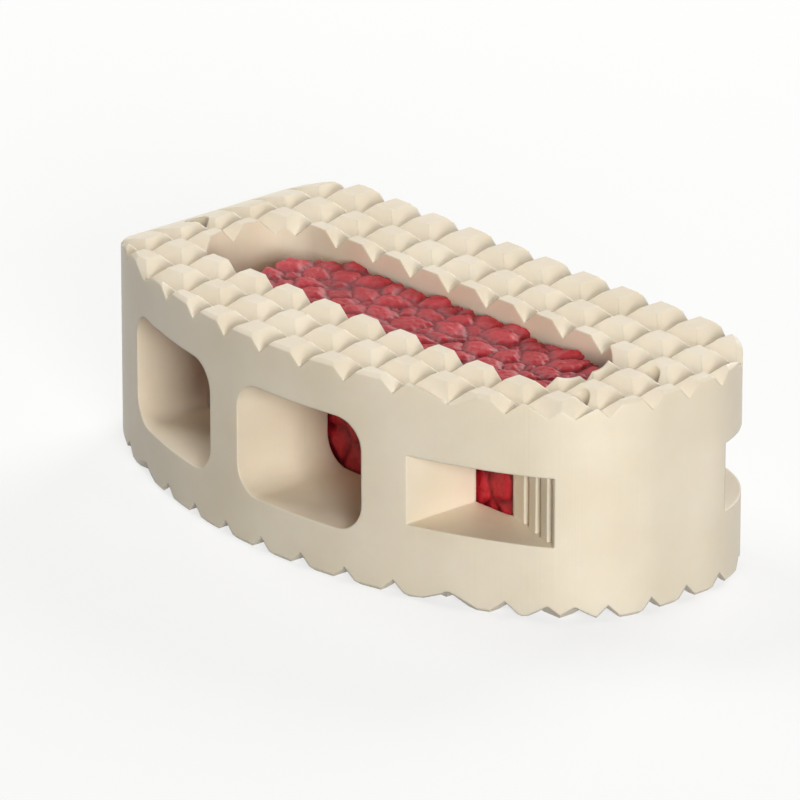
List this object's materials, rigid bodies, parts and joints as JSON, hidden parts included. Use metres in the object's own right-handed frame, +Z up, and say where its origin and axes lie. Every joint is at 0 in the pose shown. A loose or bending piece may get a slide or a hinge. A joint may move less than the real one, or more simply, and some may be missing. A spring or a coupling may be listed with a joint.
{
  "type": "spinal interbody cage",
  "caption": "Curved polymer spacer with toothed upper and lower faces, a graft-filled chamber, side windows, ribbed grip slots and metal marker pins.",
  "frame": {"origin": "centre of the base, on the lower tooth crests", "axes": "+X from the nose to the trailing end, -Y towards the curved front wall, +Z up"},
  "size_m": [0.0288, 0.0142, 0.0088],
  "materials": {
    "peek": "satin, natural beige",
    "graft": "moist, coarse",
    "tantalum": "satin"
  },
  "bodies": {
    "root": {"cage_body": "peek", "graft_plug": "graft", "nose_marker_pin": "tantalum", "front_tail_marker_pin": "tantalum", "back_tail_marker_pin": "tantalum"}
  },
  "joints": []
}
